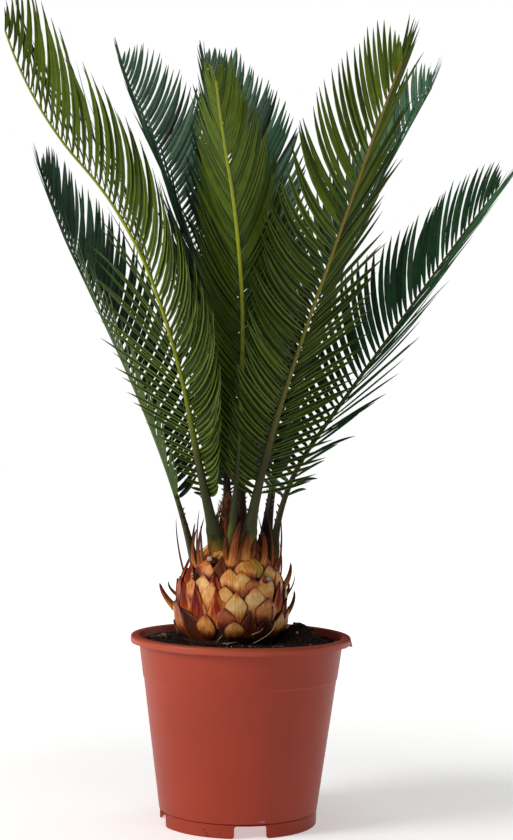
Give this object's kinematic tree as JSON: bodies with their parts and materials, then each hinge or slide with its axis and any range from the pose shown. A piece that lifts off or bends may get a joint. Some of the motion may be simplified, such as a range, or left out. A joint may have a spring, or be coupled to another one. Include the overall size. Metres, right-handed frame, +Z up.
{
  "type": "potted sago palm",
  "caption": "Young sago palm with a scaly round trunk and a crown of stiff feather-shaped fronds, in a terracotta-coloured plastic nursery pot filled with soil.",
  "frame": {"origin": "on the floor under the middle of the pot: the flat underside of the foot in the middle of the pot's base", "axes": "+Z up; -Y towards the side seen in the picture; +X to the right of that view"},
  "size_m": [0.4646, 0.5, 0.7123],
  "materials": {
    "pot": "satin terracotta-coloured plastic",
    "soil": "dark moist peat with fine roots",
    "trunk": "dry tan and red-brown leaf bases",
    "bud": "brown wool",
    "rib": "smooth green stalk",
    "leaflets": "glossy dark green leaflets"
  },
  "bodies": {
    "root": {"crown_bud": "bud", "leaves_back_a": "leaflets", "leaves_back_b": "leaflets", "leaves_back_left_a": "leaflets", "leaves_back_left_b": "leaflets", "leaves_back_right_a": "leaflets", "leaves_back_right_b": "leaflets", "leaves_front_a": "leaflets", "leaves_front_b": "leaflets", "leaves_front_left_a": "leaflets", "leaves_front_left_b": "leaflets", "leaves_front_right_a": "leaflets", "leaves_front_right_b": "leaflets", "leaves_left_a": "leaflets", "leaves_left_b": "leaflets", "leaves_right_a": "leaflets", "leaves_right_b": "leaflets", "pot": "pot", "rib_back": "rib", "rib_back_left": "rib", "rib_back_right": "rib", "rib_front": "rib", "rib_front_left": "rib", "rib_front_right": "rib", "rib_left": "rib", "rib_right": "rib", "soil": "soil", "trunk": "trunk"}
  },
  "joints": []
}
